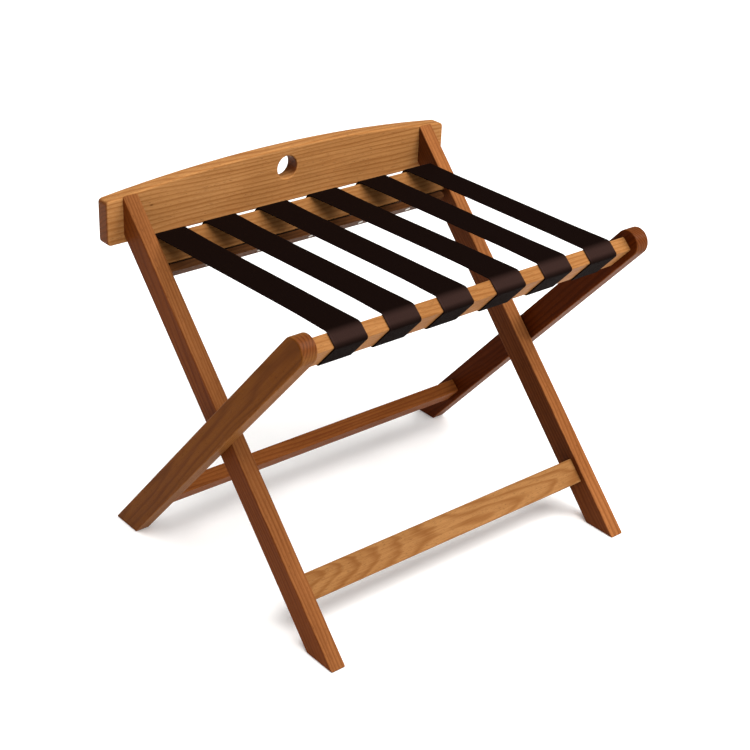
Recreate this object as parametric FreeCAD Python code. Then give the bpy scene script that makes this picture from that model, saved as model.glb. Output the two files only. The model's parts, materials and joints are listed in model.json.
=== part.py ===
import FreeCAD, Part
import math
import os

# Folding luggage rack: two wooden frames crossed like scissors, a headboard, and six webbing straps.
# X runs along the rack's width, Y from the front (-) to the headboard (+), and Z up from the floor.
# The origin is on the floor, under the middle of the rack.

# ---------------------------------------------------------------- driving dimensions, mm and degrees

RACK_WIDTH = 566.0          # over the outer legs, and the headboard's length
LEG_THICK = 22.0            # along X
LEG_WIDTH = 37.0            # across the leg, seen from the side
LEG_GAP = 2.0               # between an inner and an outer leg, filled by a washer
EDGE_ROUND = 2.0            # eased long edges of legs and rails
FOOT_ROUND = 1.0            # eased corners of the feet

PIVOT_Y = -0.65
PIVOT_Z = 220.0
INNER_LEAN = 43.4           # inner legs lean back from upright
OUTER_LEAN = 41.5           # outer legs lean forward from upright
NOSE_REACH = 263.2          # pivot to the centre of the outer leg's round top

RAIL_THICK = 20.0           # all four rails, centred on their legs
FRONT_RAIL_TOP = 264.6      # distances along the legs from the pivot, up is positive
FRONT_RAIL_WIDE = 46.0
REAR_RAIL_TOP = 269.3
REAR_RAIL_WIDE = 38.6
FRONT_STRETCHER_TOP = -195.3
REAR_STRETCHER_TOP = -188.0
STRETCHER_WIDE = 35.0

BATTEN_DEEP = 10.2
BATTEN_LEFT_GAP = 1.5       # from the batten's ends to the inner legs
BATTEN_RIGHT_GAP = 6.0
BATTEN_ROUND = 4.5

BOARD_FRONT = 210.85        # Y of the headboard's front face
BOARD_THICK = 22.0
BOARD_BOTTOM = 406.8
BOARD_END_TOP = 467.0
BOARD_MID_TOP = 485.0
BOARD_CORNER = 6.0
BOARD_ROUND = 3.0
HOLE_RADIUS = 16.0
HOLE_HEIGHT = 456.5
HOLE_ROUND = 2.0
TRIM_REACH = 40.0           # half-size of the space that trims the legs to the board's arc

STRAP_COUNT = 6
STRAP_WIDE = 50.0
STRAP_THICK = 1.8
STRAP_PITCH = 83.0
# Each strap was fixed by hand, so it lies a little to one side of its even place at each rail, left to right.
STRAP_SHIFT_FRONT = (1.5, -0.5, 0.0, 4.0, 2.5, 1.5)
STRAP_SHIFT_REAR = (-4.0, -8.0, -6.5, -4.0, 0.5, 2.5)
STRAP_CLEAR = 0.2           # webbing to wood
STRAP_BEND = EDGE_ROUND + STRAP_CLEAR
FRONT_TAIL = 24.0           # strap end up the back of the front rail
REAR_LOFT = 4.0             # the stiff webbing runs on this far past the rear rail's upper edge before it bends
REAR_TAIL_SHORT = 3.0       # clamped strap end stops inside the rail's front face

PIN_RADIUS = 4.0
PIN_IN_OUTER = 15.0         # blind depth in the outer leg
PIN_IN_INNER = 14.0
PIN_CHAMFER = 0.8
PIN_END_GAP = 1.0
BUSH_WALL = 2.0
BUSH_LONG = 15.0
RUNNING = 0.05              # radial running clearance
WASHER_RADIUS = 14.0
WASHER_FACE_GAP = 0.05

DOWEL_RADIUS = 4.0
DOWEL_IN_LEG = 14.0
DOWEL_IN_RAIL = 20.0
DOWEL_SPREAD = 9.0          # each side of the rail's middle

SCREW_HEAD = 4.0
SCREW_SHANK = 2.0
SCREW_TIP = 4.0
SCREW_POINT = 0.2
BOARD_SCREW_LONG = 40.0
BOARD_SCREW_HEIGHTS = (422.0, 440.0)
BATTEN_SCREW_LONG = 26.0

STAPLES_PER_STRAP = 3
STAPLE_PITCH = 15.0
STAPLE_CROWN = 10.0
STAPLE_WIRE = 0.9
STAPLE_DEEP = 9.0
STAPLE_FROM_END = 7.0
STAPLE_SLOT = 0.05          # room round a staple where it goes through the webbing

# ---------------------------------------------------------------- worked-out places

OUTER_FACE = RACK_WIDTH / 2                       # X of the outer legs' outside
OUTER_INSIDE = OUTER_FACE - LEG_THICK
INNER_FACE = OUTER_INSIDE - LEG_GAP
INNER_INSIDE = INNER_FACE - LEG_THICK
HALF_LEG = LEG_WIDTH / 2
HALF_RAIL = RAIL_THICK / 2

os.makedirs("parts", exist_ok=True)


def save(name, shape):
    shape.exportStep(os.path.join("parts", name + ".step"))


def group(shapes):
    return Part.makeCompound(shapes)


# ---------------------------------------------------------------- geometry helpers

class Slant:
    """A leg's directions in the YZ plane: along goes up the leg from the pivot, across is square to it."""

    def __init__(self, lean, back):
        turn = math.radians(lean)
        side = 1.0 if back else -1.0
        self.along = (side * math.sin(turn), math.cos(turn))
        self.across = (-side * math.cos(turn), math.sin(turn))   # always towards the upper face

    def yz(self, along, across):
        y = PIVOT_Y + along * self.along[0] + across * self.across[0]
        z = PIVOT_Z + along * self.along[1] + across * self.across[1]
        return (y, z)

    def axis(self):
        return FreeCAD.Vector(0, self.along[0], self.along[1])

    def along_at_floor(self, across):
        """Where the leg's line at this offset meets the floor."""
        return -(PIVOT_Z + across * self.across[1]) / self.along[1]


INNER = Slant(INNER_LEAN, back=True)
OUTER = Slant(OUTER_LEAN, back=False)


def vec(x, yz):
    return FreeCAD.Vector(x, yz[0], yz[1])


def prism(points, x_from, x_to):
    """A straight-sided outline in the YZ plane, drawn out along X."""
    wire = Part.makePolygon([vec(x_from, p) for p in points] + [vec(x_from, points[0])])
    return Part.Face(wire).extrude(FreeCAD.Vector(x_to - x_from, 0, 0))


def edges_along(shape, direction, test=None):
    """The straight edges of a shape that run in one direction."""
    found = []
    for edge in shape.Edges:
        if not isinstance(edge.Curve, Part.Line):
            continue
        run = edge.tangentAt(edge.FirstParameter)
        if abs(abs(run.dot(direction)) - 1.0) > 1e-6:
            continue
        if test is None or test(edge.CenterOfMass):
            found.append(edge)
    return found


def rail_section(slant, top, wide):
    """The four corners of a rail turned with its legs and centred on them."""
    low = top - wide
    return [slant.yz(top, HALF_RAIL), slant.yz(top, -HALF_RAIL),
            slant.yz(low, -HALF_RAIL), slant.yz(low, HALF_RAIL)]


def rail(slant, top, wide, half_length):
    body = prism(rail_section(slant, top, wide), -half_length, half_length)
    return body.makeFillet(EDGE_ROUND, edges_along(body, FreeCAD.Vector(1, 0, 0)))


# ---------------------------------------------------------------- fasteners

def rail_dowels(slant, top, wide, leg_inside):
    """Two dowels at each end of a rail, half in the rail and half in the leg."""
    middle = top - wide / 2
    pins = []
    for side in (-1.0, 1.0):
        for step in (-DOWEL_SPREAD, DOWEL_SPREAD):
            start = vec(side * (leg_inside - DOWEL_IN_RAIL), slant.yz(middle + step, 0))
            length = DOWEL_IN_RAIL + DOWEL_IN_LEG
            pins.append(Part.makeCylinder(DOWEL_RADIUS, length, start, FreeCAD.Vector(side, 0, 0)))
    return pins


def wood_screw(head_at, direction, length):
    """A countersunk wood screw, drawn from the middle of its flat head along direction."""
    cone = SCREW_HEAD - SCREW_SHANK
    head = Part.makeCone(SCREW_HEAD, SCREW_SHANK, cone, head_at, direction)
    shank_at = head_at + direction * cone
    shank_long = length - cone - SCREW_TIP
    shank = Part.makeCylinder(SCREW_SHANK, shank_long, shank_at, direction)
    tip = Part.makeCone(SCREW_SHANK, SCREW_POINT, SCREW_TIP, shank_at + direction * shank_long, direction)
    return head.fuse([shank, tip]).removeSplitter()


def headboard_screws():
    screws = []
    into_leg = FreeCAD.Vector(0, -1, 0)
    middle = (INNER_FACE + INNER_INSIDE) / 2
    for side in (-1.0, 1.0):
        for height in BOARD_SCREW_HEIGHTS:
            head_at = FreeCAD.Vector(side * middle, BOARD_FRONT + BOARD_THICK, height)
            screws.append(wood_screw(head_at, into_leg, BOARD_SCREW_LONG))
    return screws


def strap_centres(shifts):
    """X of each strap's middle line at one rail."""
    first = -STRAP_PITCH * (STRAP_COUNT - 1) / 2
    return [first + STRAP_PITCH * k + shift for k, shift in enumerate(shifts)]


def batten_bottom():
    return REAR_RAIL_TOP - REAR_RAIL_WIDE - STRAP_THICK - 2 * STRAP_CLEAR - BATTEN_DEEP


def batten_screws():
    """One screw in each gap between straps, up through the batten into the rail."""
    centres = strap_centres(STRAP_SHIFT_REAR)
    screws = []
    for left, right in zip(centres, centres[1:]):
        head_at = vec((left + right) / 2, INNER.yz(batten_bottom(), 0))
        screws.append(wood_screw(head_at, INNER.axis(), BATTEN_SCREW_LONG))
    return screws


def staple(x, along, extra=0.0):
    """A staple across the strap's tail, its legs driven into the back of the front rail."""
    surface = HALF_RAIL + STRAP_CLEAR + STRAP_THICK
    half = STAPLE_CROWN / 2
    wire = STAPLE_WIRE / 2 + extra
    top = surface + STAPLE_WIRE + extra

    def block(x_from, x_to, low):
        corners = [OUTER.yz(along - wire, low), OUTER.yz(along + wire, low),
                   OUTER.yz(along + wire, top), OUTER.yz(along - wire, top)]
        return prism(corners, x_from, x_to)

    crown = block(x - half, x + half, surface - extra)
    legs = []
    for side in (-1.0, 1.0):
        middle = x + side * (half - STAPLE_WIRE / 2)
        legs.append(block(middle - wire, middle + wire, surface - STAPLE_DEEP))
    return crown.fuse(legs).removeSplitter()


def staple_places():
    along = FRONT_RAIL_TOP - FRONT_RAIL_WIDE + FRONT_TAIL - STAPLE_FROM_END
    first = -STAPLE_PITCH * (STAPLES_PER_STRAP - 1) / 2
    return [(centre, centre + first + STAPLE_PITCH * k, along)
            for centre in strap_centres(STRAP_SHIFT_FRONT) for k in range(STAPLES_PER_STRAP)]


# ---------------------------------------------------------------- pivots

def pivot_axis_at(x):
    return FreeCAD.Vector(x, PIVOT_Y, PIVOT_Z)


def pivot_pin(side):
    """A steel pin pressed into the outer leg; its free end turns in the inner leg's bush."""
    start = pivot_axis_at(side * (OUTER_INSIDE + PIN_IN_OUTER))
    length = PIN_IN_OUTER + LEG_GAP + PIN_IN_INNER
    pin = Part.makeCylinder(PIN_RADIUS, length, start, FreeCAD.Vector(-side, 0, 0))
    rims = [edge for edge in pin.Edges if isinstance(edge.Curve, Part.Circle)]
    return pin.makeChamfer(PIN_CHAMFER, rims)


def pivot_bush(side):
    """A nylon sleeve pressed into the inner leg from its outer face."""
    start = pivot_axis_at(side * INNER_FACE)
    inward = FreeCAD.Vector(-side, 0, 0)
    bore = PIN_RADIUS + RUNNING
    sleeve = Part.makeCylinder(bore + BUSH_WALL, BUSH_LONG, start, inward)
    return sleeve.cut(Part.makeCylinder(bore, BUSH_LONG, start, inward))


def pivot_washer(side):
    start = pivot_axis_at(side * (INNER_FACE + WASHER_FACE_GAP))
    outward = FreeCAD.Vector(side, 0, 0)
    thick = LEG_GAP - 2 * WASHER_FACE_GAP
    disc = Part.makeCylinder(WASHER_RADIUS, thick, start, outward)
    return disc.cut(Part.makeCylinder(PIN_RADIUS + RUNNING, thick, start, outward))


# ---------------------------------------------------------------- wooden pieces

def board_outline(y):
    """The headboard seen from the front: straight below, a shallow arc above."""
    half = RACK_WIDTH / 2
    low_left = FreeCAD.Vector(-half, y, BOARD_BOTTOM)
    low_right = FreeCAD.Vector(half, y, BOARD_BOTTOM)
    top_left = FreeCAD.Vector(-half, y, BOARD_END_TOP)
    top_right = FreeCAD.Vector(half, y, BOARD_END_TOP)
    crown = FreeCAD.Vector(0, y, BOARD_MID_TOP)
    arch = Part.Arc(top_right, crown, top_left).toShape()
    sides = [Part.makeLine(low_left, low_right), Part.makeLine(low_right, top_right), arch,
             Part.makeLine(top_left, low_left)]
    return Part.Wire(sides)


def headboard():
    board = Part.Face(board_outline(BOARD_FRONT)).extrude(FreeCAD.Vector(0, BOARD_THICK, 0))
    board = board.makeFillet(BOARD_CORNER, edges_along(board, FreeCAD.Vector(0, 1, 0)))
    back = BOARD_FRONT + BOARD_THICK
    rims = [edge for edge in board.Edges
            if edge.BoundBox.YLength < 1e-6 and min(abs(edge.BoundBox.YMin - BOARD_FRONT),
                                                    abs(edge.BoundBox.YMin - back)) < 1e-6]
    board = board.makeFillet(BOARD_ROUND, rims)
    start = FreeCAD.Vector(0, BOARD_FRONT, HOLE_HEIGHT)
    hole = Part.makeCylinder(HOLE_RADIUS, BOARD_THICK, start, FreeCAD.Vector(0, 1, 0))
    board = board.cut(hole)
    mouths = [edge for edge in board.Edges
              if isinstance(edge.Curve, Part.Circle) and abs(edge.Curve.Radius - HOLE_RADIUS) < 1e-6
              and edge.BoundBox.YLength < 1e-6]
    board = board.makeFillet(HOLE_ROUND, mouths)
    return board.cut(headboard_screws())


def above_board():
    """The space over the headboard's arc, carried forward over the legs' tips."""
    half = RACK_WIDTH / 2
    top = BOARD_MID_TOP + TRIM_REACH
    y = BOARD_FRONT - TRIM_REACH
    left = FreeCAD.Vector(-half, y, BOARD_END_TOP)
    right = FreeCAD.Vector(half, y, BOARD_END_TOP)
    arch = Part.Arc(left, FreeCAD.Vector(0, y, BOARD_MID_TOP), right).toShape()
    far_right = FreeCAD.Vector(half, y, top)
    far_left = FreeCAD.Vector(-half, y, top)
    sides = [arch, Part.makeLine(right, far_right), Part.makeLine(far_right, far_left),
             Part.makeLine(far_left, left)]
    return Part.Face(Part.Wire(sides)).extrude(FreeCAD.Vector(0, 2 * TRIM_REACH, 0))


def inner_leg(side):
    """From the floor up to the headboard, where its end is cut upright to lie flat on the board."""
    front_foot = INNER.yz(INNER.along_at_floor(HALF_LEG), HALF_LEG)
    back_foot = INNER.yz(INNER.along_at_floor(-HALF_LEG), -HALF_LEG)
    rise = INNER.along[1] / INNER.along[0]
    low_cut = (BOARD_FRONT, back_foot[1] + (BOARD_FRONT - back_foot[0]) * rise)
    tip = (BOARD_FRONT, front_foot[1] + (BOARD_FRONT - front_foot[0]) * rise)
    inside, outside = sorted((side * INNER_INSIDE, side * INNER_FACE))
    leg = prism([front_foot, back_foot, low_cut, tip], inside, outside)
    feet = edges_along(leg, FreeCAD.Vector(1, 0, 0), lambda c: c.z < 1.0)
    leg = leg.makeFillet(FOOT_ROUND, feet)
    leg = leg.makeFillet(EDGE_ROUND, edges_along(leg, INNER.axis()))
    return leg.cut(above_board())


def outer_leg(side):
    """From the floor up to a round nose in front of the seat rail."""
    back_foot = OUTER.yz(OUTER.along_at_floor(HALF_LEG), HALF_LEG)
    front_foot = OUTER.yz(OUTER.along_at_floor(-HALF_LEG), -HALF_LEG)
    upper = OUTER.yz(NOSE_REACH, HALF_LEG)
    crown = OUTER.yz(NOSE_REACH + HALF_LEG, 0)
    lower = OUTER.yz(NOSE_REACH, -HALF_LEG)
    inside, outside = sorted((side * OUTER_INSIDE, side * OUTER_FACE))
    sides = [Part.makeLine(vec(inside, lower), vec(inside, front_foot)),
             Part.makeLine(vec(inside, front_foot), vec(inside, back_foot)),
             Part.makeLine(vec(inside, back_foot), vec(inside, upper)),
             Part.Arc(vec(inside, upper), vec(inside, crown), vec(inside, lower)).toShape()]
    leg = Part.Face(Part.Wire(sides)).extrude(FreeCAD.Vector(outside - inside, 0, 0))
    feet = edges_along(leg, FreeCAD.Vector(1, 0, 0), lambda c: c.z < 1.0)
    leg = leg.makeFillet(FOOT_ROUND, feet)
    rims = edges_along(leg, OUTER.axis())
    rims += [edge for edge in leg.Edges
             if isinstance(edge.Curve, Part.Circle) and abs(edge.Curve.Radius - HALF_LEG) < 1e-6]
    return leg.makeFillet(EDGE_ROUND, rims)


def blind_hole(side, face, depth, radius):
    start = pivot_axis_at(side * face)
    return Part.makeCylinder(radius, depth, start, FreeCAD.Vector(side, 0, 0))


def batten():
    """A strip with rounded ends under the rear rail; it clamps the strap ends against the rail."""
    left, right = BATTEN_LEFT_GAP - INNER_INSIDE, INNER_INSIDE - BATTEN_RIGHT_GAP
    strip = prism(rail_section(INNER, batten_bottom() + BATTEN_DEEP, BATTEN_DEEP), left, right)
    return strip.makeFillet(BATTEN_ROUND, edges_along(strip, FreeCAD.Vector(0, *INNER.across)))


# ---------------------------------------------------------------- straps

def offset_corner(slant, top, wide, upper, high):
    """A corner of the strap's path round a rail, held off the wood by the strap's clearance."""
    along = top + STRAP_CLEAR if high else top - wide - STRAP_CLEAR
    across = HALF_RAIL + STRAP_CLEAR
    return slant.yz(along, across if upper else -across)


def strap_section(points):
    """Webbing along points with a bend at each corner, its thickness on the side away from the rail."""
    def unit(a, b):
        length = math.dist(a, b)
        return ((b[0] - a[0]) / length, (b[1] - a[1]) / length)

    first = unit(points[0], points[1])
    second = unit(points[1], points[2])
    turn = 1.0 if first[0] * second[1] - first[1] * second[0] > 0 else -1.0

    def outside(point, run, distance):
        """A point moved square to the run, away from the rail."""
        return (point[0] + turn * run[1] * distance, point[1] - turn * run[0] * distance)

    near = []
    far = []
    here = points[0]
    for before, corner, after in zip(points, points[1:], points[2:]):
        run_in = unit(before, corner)
        run_out = unit(corner, after)
        angle = math.acos(run_in[0] * run_out[0] + run_in[1] * run_out[1])
        back = STRAP_BEND * math.tan(angle / 2)
        start = (corner[0] - run_in[0] * back, corner[1] - run_in[1] * back)
        end = (corner[0] + run_out[0] * back, corner[1] + run_out[1] * back)
        centre = outside(start, run_in, -STRAP_BEND)
        middle = unit(centre, corner)
        for side, offset in ((near, 0.0), (far, STRAP_THICK)):
            radius = STRAP_BEND + offset
            mid = (centre[0] + middle[0] * radius, centre[1] + middle[1] * radius)
            side.append(("line", outside(here, run_in, offset), outside(start, run_in, offset)))
            side.append(("arc", outside(start, run_in, offset), mid, outside(end, run_out, offset)))
        here = end
    last = unit(points[-2], points[-1])
    for side, offset in ((near, 0.0), (far, STRAP_THICK)):
        side.append(("line", outside(here, last, offset), outside(points[-1], last, offset)))
    return near, far


def strap_solid(points, centre):
    near, far = strap_section(points)
    x = centre - STRAP_WIDE / 2
    edges = []
    for side in (near, far):
        for piece in side:
            ends = [vec(x, p) for p in piece[1:]]
            edges.append(Part.makeLine(*ends) if piece[0] == "line" else Part.Arc(*ends).toShape())
    edges.append(Part.makeLine(vec(x, near[0][1]), vec(x, far[0][1])))
    edges.append(Part.makeLine(vec(x, near[-1][-1]), vec(x, far[-1][-1])))
    wire = Part.Wire(Part.__sortEdges__(edges))
    return Part.Face(wire).extrude(FreeCAD.Vector(STRAP_WIDE, 0, 0))


def seat_middle():
    """Where the mirror plane of the two frames crosses the straps' underside: a fold keeps it mid-way."""
    front = offset_corner(OUTER, FRONT_RAIL_TOP, FRONT_RAIL_WIDE, upper=True, high=True)
    rear = offset_corner(INNER, REAR_RAIL_TOP, REAR_RAIL_WIDE, upper=True, high=True)
    reach_front = math.dist((PIVOT_Y, PIVOT_Z), front)
    reach_rear = math.dist((PIVOT_Y, PIVOT_Z), rear)
    share = reach_front / (reach_front + reach_rear)
    return (front[0] + share * (rear[0] - front[0]), front[1] + share * (rear[1] - front[1]))


def front_strap(centre):
    """The front half: over the front rail's two upper edges, down its face, under it and up its back."""
    size = (OUTER, FRONT_RAIL_TOP, FRONT_RAIL_WIDE)
    low = FRONT_RAIL_TOP - FRONT_RAIL_WIDE - STRAP_CLEAR
    tail = OUTER.yz(low + FRONT_TAIL, HALF_RAIL + STRAP_CLEAR)
    points = [seat_middle(), offset_corner(*size, upper=True, high=True),
              offset_corner(*size, upper=False, high=True), offset_corner(*size, upper=False, high=False),
              offset_corner(*size, upper=True, high=False), tail]
    strap = strap_solid(points, centre)
    slots = [staple(x, along, STAPLE_SLOT) for owner, x, along in staple_places() if owner == centre]
    return strap.cut(slots)


def rear_strap(centre):
    """The rear half: over the rear rail, down its back and forward into the clamp under it."""
    size = (INNER, REAR_RAIL_TOP, REAR_RAIL_WIDE)
    low = REAR_RAIL_TOP - REAR_RAIL_WIDE - STRAP_CLEAR
    tail = INNER.yz(low, HALF_RAIL - REAR_TAIL_SHORT)
    middle = seat_middle()
    edge = offset_corner(*size, upper=True, high=True)
    share = 1 + REAR_LOFT / math.dist(middle, edge)
    lofted = (middle[0] + share * (edge[0] - middle[0]), middle[1] + share * (edge[1] - middle[1]))
    points = [middle, lofted, offset_corner(*size, upper=False, high=True),
              offset_corner(*size, upper=False, high=False), tail]
    return strap_solid(points, centre)


# ---------------------------------------------------------------- build and save

inner_dowels = (rail_dowels(INNER, REAR_RAIL_TOP, REAR_RAIL_WIDE, INNER_INSIDE)
                + rail_dowels(INNER, FRONT_STRETCHER_TOP, STRETCHER_WIDE, INNER_INSIDE))
outer_dowels = (rail_dowels(OUTER, FRONT_RAIL_TOP, FRONT_RAIL_WIDE, OUTER_INSIDE)
                + rail_dowels(OUTER, REAR_STRETCHER_TOP, STRETCHER_WIDE, OUTER_INSIDE))
staples = [staple(x, along) for owner, x, along in staple_places()]
sleeve_radius = PIN_RADIUS + RUNNING + BUSH_WALL

save("headboard", headboard())
save("headboard_screws", group(headboard_screws()))
for name, side in (("left", -1.0), ("right", 1.0)):
    inner_socket = blind_hole(-side, -INNER_FACE, BUSH_LONG + PIN_END_GAP, sleeve_radius)
    save("inner_leg_" + name, inner_leg(side).cut(inner_dowels + headboard_screws() + [inner_socket]))
    outer_socket = blind_hole(side, OUTER_INSIDE, PIN_IN_OUTER, PIN_RADIUS)
    save("outer_leg_" + name, outer_leg(side).cut(outer_dowels + [outer_socket]))
    save("pivot_pin_" + name, pivot_pin(side))
    save("pivot_bush_" + name, pivot_bush(side))
    save("pivot_washer_" + name, pivot_washer(side))

rear_rail = rail(INNER, REAR_RAIL_TOP, REAR_RAIL_WIDE, INNER_INSIDE)
front_rail = rail(OUTER, FRONT_RAIL_TOP, FRONT_RAIL_WIDE, OUTER_INSIDE)
front_stretcher = rail(INNER, FRONT_STRETCHER_TOP, STRETCHER_WIDE, INNER_INSIDE)
rear_stretcher = rail(OUTER, REAR_STRETCHER_TOP, STRETCHER_WIDE, OUTER_INSIDE)
save("rear_seat_rail", rear_rail.cut(inner_dowels + batten_screws()))
save("front_seat_rail", front_rail.cut(outer_dowels + staples))
save("front_stretcher", front_stretcher.cut(inner_dowels))
save("rear_stretcher", rear_stretcher.cut(outer_dowels))
save("strap_batten", batten().cut(batten_screws()))
save("batten_screws", group(batten_screws()))
save("inner_frame_dowels", group(inner_dowels))
save("outer_frame_dowels", group(outer_dowels))
save("strap_staples", group(staples))

for number, centre in enumerate(strap_centres(STRAP_SHIFT_FRONT), start=1):
    save(f"strap_{number}_front", front_strap(centre))
for number, centre in enumerate(strap_centres(STRAP_SHIFT_REAR), start=1):
    save(f"strap_{number}_rear", rear_strap(centre))
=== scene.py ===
# %% [markdown]
# # A folding luggage rack
# The rack is two oak frames that cross like scissors, with six webbing straps between their top rails.
# The solid model already fixes every size and every moving part. This script only dresses it:
# it gives each piece of wood its own grain, weaves the straps, and sets up a small studio round it all.
# The frame is loaded first, and its box is kept: the floor and the lights are placed from it.

# %% Load the frame
import json
import math

import bmesh
import bpy
from mathutils import Matrix, Vector


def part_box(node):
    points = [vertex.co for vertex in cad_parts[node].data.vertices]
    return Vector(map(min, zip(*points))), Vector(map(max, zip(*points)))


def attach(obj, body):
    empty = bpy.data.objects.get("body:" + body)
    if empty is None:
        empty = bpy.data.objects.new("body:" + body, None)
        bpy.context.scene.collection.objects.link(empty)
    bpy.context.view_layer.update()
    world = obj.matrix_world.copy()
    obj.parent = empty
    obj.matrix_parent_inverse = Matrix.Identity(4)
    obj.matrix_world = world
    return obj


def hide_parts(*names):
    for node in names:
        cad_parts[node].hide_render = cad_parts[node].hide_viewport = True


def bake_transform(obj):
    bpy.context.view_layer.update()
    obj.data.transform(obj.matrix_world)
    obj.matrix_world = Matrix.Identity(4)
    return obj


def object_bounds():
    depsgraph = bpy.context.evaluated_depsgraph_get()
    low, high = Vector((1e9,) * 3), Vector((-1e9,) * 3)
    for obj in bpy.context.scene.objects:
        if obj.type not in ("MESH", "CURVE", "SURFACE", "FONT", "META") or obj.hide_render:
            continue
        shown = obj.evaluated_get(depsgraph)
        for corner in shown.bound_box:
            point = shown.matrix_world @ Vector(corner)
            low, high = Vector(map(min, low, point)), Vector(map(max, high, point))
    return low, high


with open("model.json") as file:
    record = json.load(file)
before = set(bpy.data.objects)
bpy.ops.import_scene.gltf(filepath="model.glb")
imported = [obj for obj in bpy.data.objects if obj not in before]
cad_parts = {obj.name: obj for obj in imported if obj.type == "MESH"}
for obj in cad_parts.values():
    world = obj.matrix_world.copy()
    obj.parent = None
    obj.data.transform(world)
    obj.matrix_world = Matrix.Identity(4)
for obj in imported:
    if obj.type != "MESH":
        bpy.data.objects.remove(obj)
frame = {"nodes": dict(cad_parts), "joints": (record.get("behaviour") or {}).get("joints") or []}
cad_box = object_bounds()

MM = 0.001
print("nodes", len(frame["nodes"]), "box", [round(v, 4) for corner in cad_box for v in corner])

# %% [markdown]
# ## Where things are
# Both frames turn about one pivot, and every rail is centred on the legs that carry it.
# So the line from the pivot to the middle of a top rail is the direction in which that frame's legs run.
# Everything that follows is placed with those two directions and the boxes of the solid nodes.

# %% Directions of the two frames
fold = next(joint for joint in frame["joints"] if joint["name"] == "fold")
PIVOT = Vector(fold["pos_m"])
SIDEWAYS = Vector((1, 0, 0))


def middle_of(node):
    low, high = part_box(node)
    return (low + high) / 2


def size_of(node):
    low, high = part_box(node)
    return high - low


class Lean:
    """The directions of one frame: along its legs, upwards, and across them, towards the upper face."""

    def __init__(self, top_rail):
        run = middle_of(top_rail) - PIVOT
        self.along = Vector((0, run.y, run.z)).normalized()
        turned = Vector((0, -self.along.z, self.along.y))
        self.across = turned if turned.z > 0 else -turned

    def place(self, x, along, across):
        return Vector((x, 0, 0)) + Vector((0, PIVOT.y, PIVOT.z)) + self.along * along + self.across * across


inner = Lean("rear_seat_rail")
outer = Lean("front_seat_rail")
print("inner legs run", tuple(round(v, 3) for v in inner.along),
      "outer legs run", tuple(round(v, 3) for v in outer.along))

# %% [markdown]
# A rail is a bar with eased edges, turned with its legs. Its box tells how big the bar is:
# the height and the depth of the box are two sums of the bar's width and thickness,
# and two equations give back the two unknowns.

# %% Measure a rail from its box
EASED = 2 * MM          # the radius that every long edge of the wood is rounded to


class Rail:
    def __init__(self, node, lean):
        self.lean = lean
        size = size_of(node)
        rise, reach = abs(lean.along.z), abs(lean.along.y)
        tall, deep = size.z - 2 * EASED, size.y - 2 * EASED
        spread = rise * rise - reach * reach
        self.wide = (tall * rise - deep * reach) / spread + 2 * EASED if abs(spread) > 1e-9 else tall
        self.thick = (deep * rise - tall * reach) / spread + 2 * EASED if abs(spread) > 1e-9 else deep
        centre = middle_of(node) - PIVOT
        self.middle = centre.dot(lean.along)
        self.half_long = size.x / 2

    def corner(self, high, upper, off):
        """(along, across) of a corner of the section, held off the wood by a distance."""
        along = self.middle + (self.wide / 2 + off) * (1 if high else -1)
        across = (self.thick / 2 + off) * (1 if upper else -1)
        return along, across


front_rail = Rail("front_seat_rail", outer)
rear_rail = Rail("rear_seat_rail", inner)
for name, rail in (("front", front_rail), ("rear", rear_rail)):
    print(name, "rail", round(rail.wide / MM, 2), "x", round(rail.thick / MM, 2), "mm")

# %% [markdown]
# ## Writing shaders as sums
# A shader is a graph of nodes, and drawing a graph in code is hard to read.
# So one small class holds a node's output, and sums on it add the Math nodes: `1 - mask` or `rings * 0.4 + fibre`.
# Every other kind of node comes from one method, which takes the node's settings first and then its sockets.

# %% A socket that can be used in a sum
class Signal:
    """One output of a shader node. Arithmetic on it adds Math nodes."""

    def __init__(self, tree, output):
        self.tree = tree
        self.output = output

    def sum(self, operation, *values):
        node = self.tree.nodes.new("ShaderNodeMath")
        node.operation = operation
        for socket, value in zip(node.inputs, values):
            connect(self.tree, socket, value)
        return Signal(self.tree, node.outputs[0])

    def __add__(self, other):
        return self.sum("ADD", self, other)

    def __radd__(self, other):
        return self.sum("ADD", other, self)

    def __sub__(self, other):
        return self.sum("SUBTRACT", self, other)

    def __rsub__(self, other):
        return self.sum("SUBTRACT", other, self)

    def __mul__(self, other):
        return self.sum("MULTIPLY", self, other)

    def __rmul__(self, other):
        return self.sum("MULTIPLY", other, self)

    def __truediv__(self, other):
        return self.sum("DIVIDE", self, other)

    def __pow__(self, other):
        return self.sum("POWER", self, other)

    def __abs__(self):
        return self.sum("ABSOLUTE", self)


def connect(tree, socket, value):
    """Links a signal to a socket, or sets the socket to a plain value."""
    if isinstance(value, Signal):
        tree.links.new(value.output, socket)
    elif isinstance(value, (tuple, list)) and len(value) == 3 and socket.type == "RGBA":
        socket.default_value = (*value, 1)
    else:
        socket.default_value = value


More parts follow.
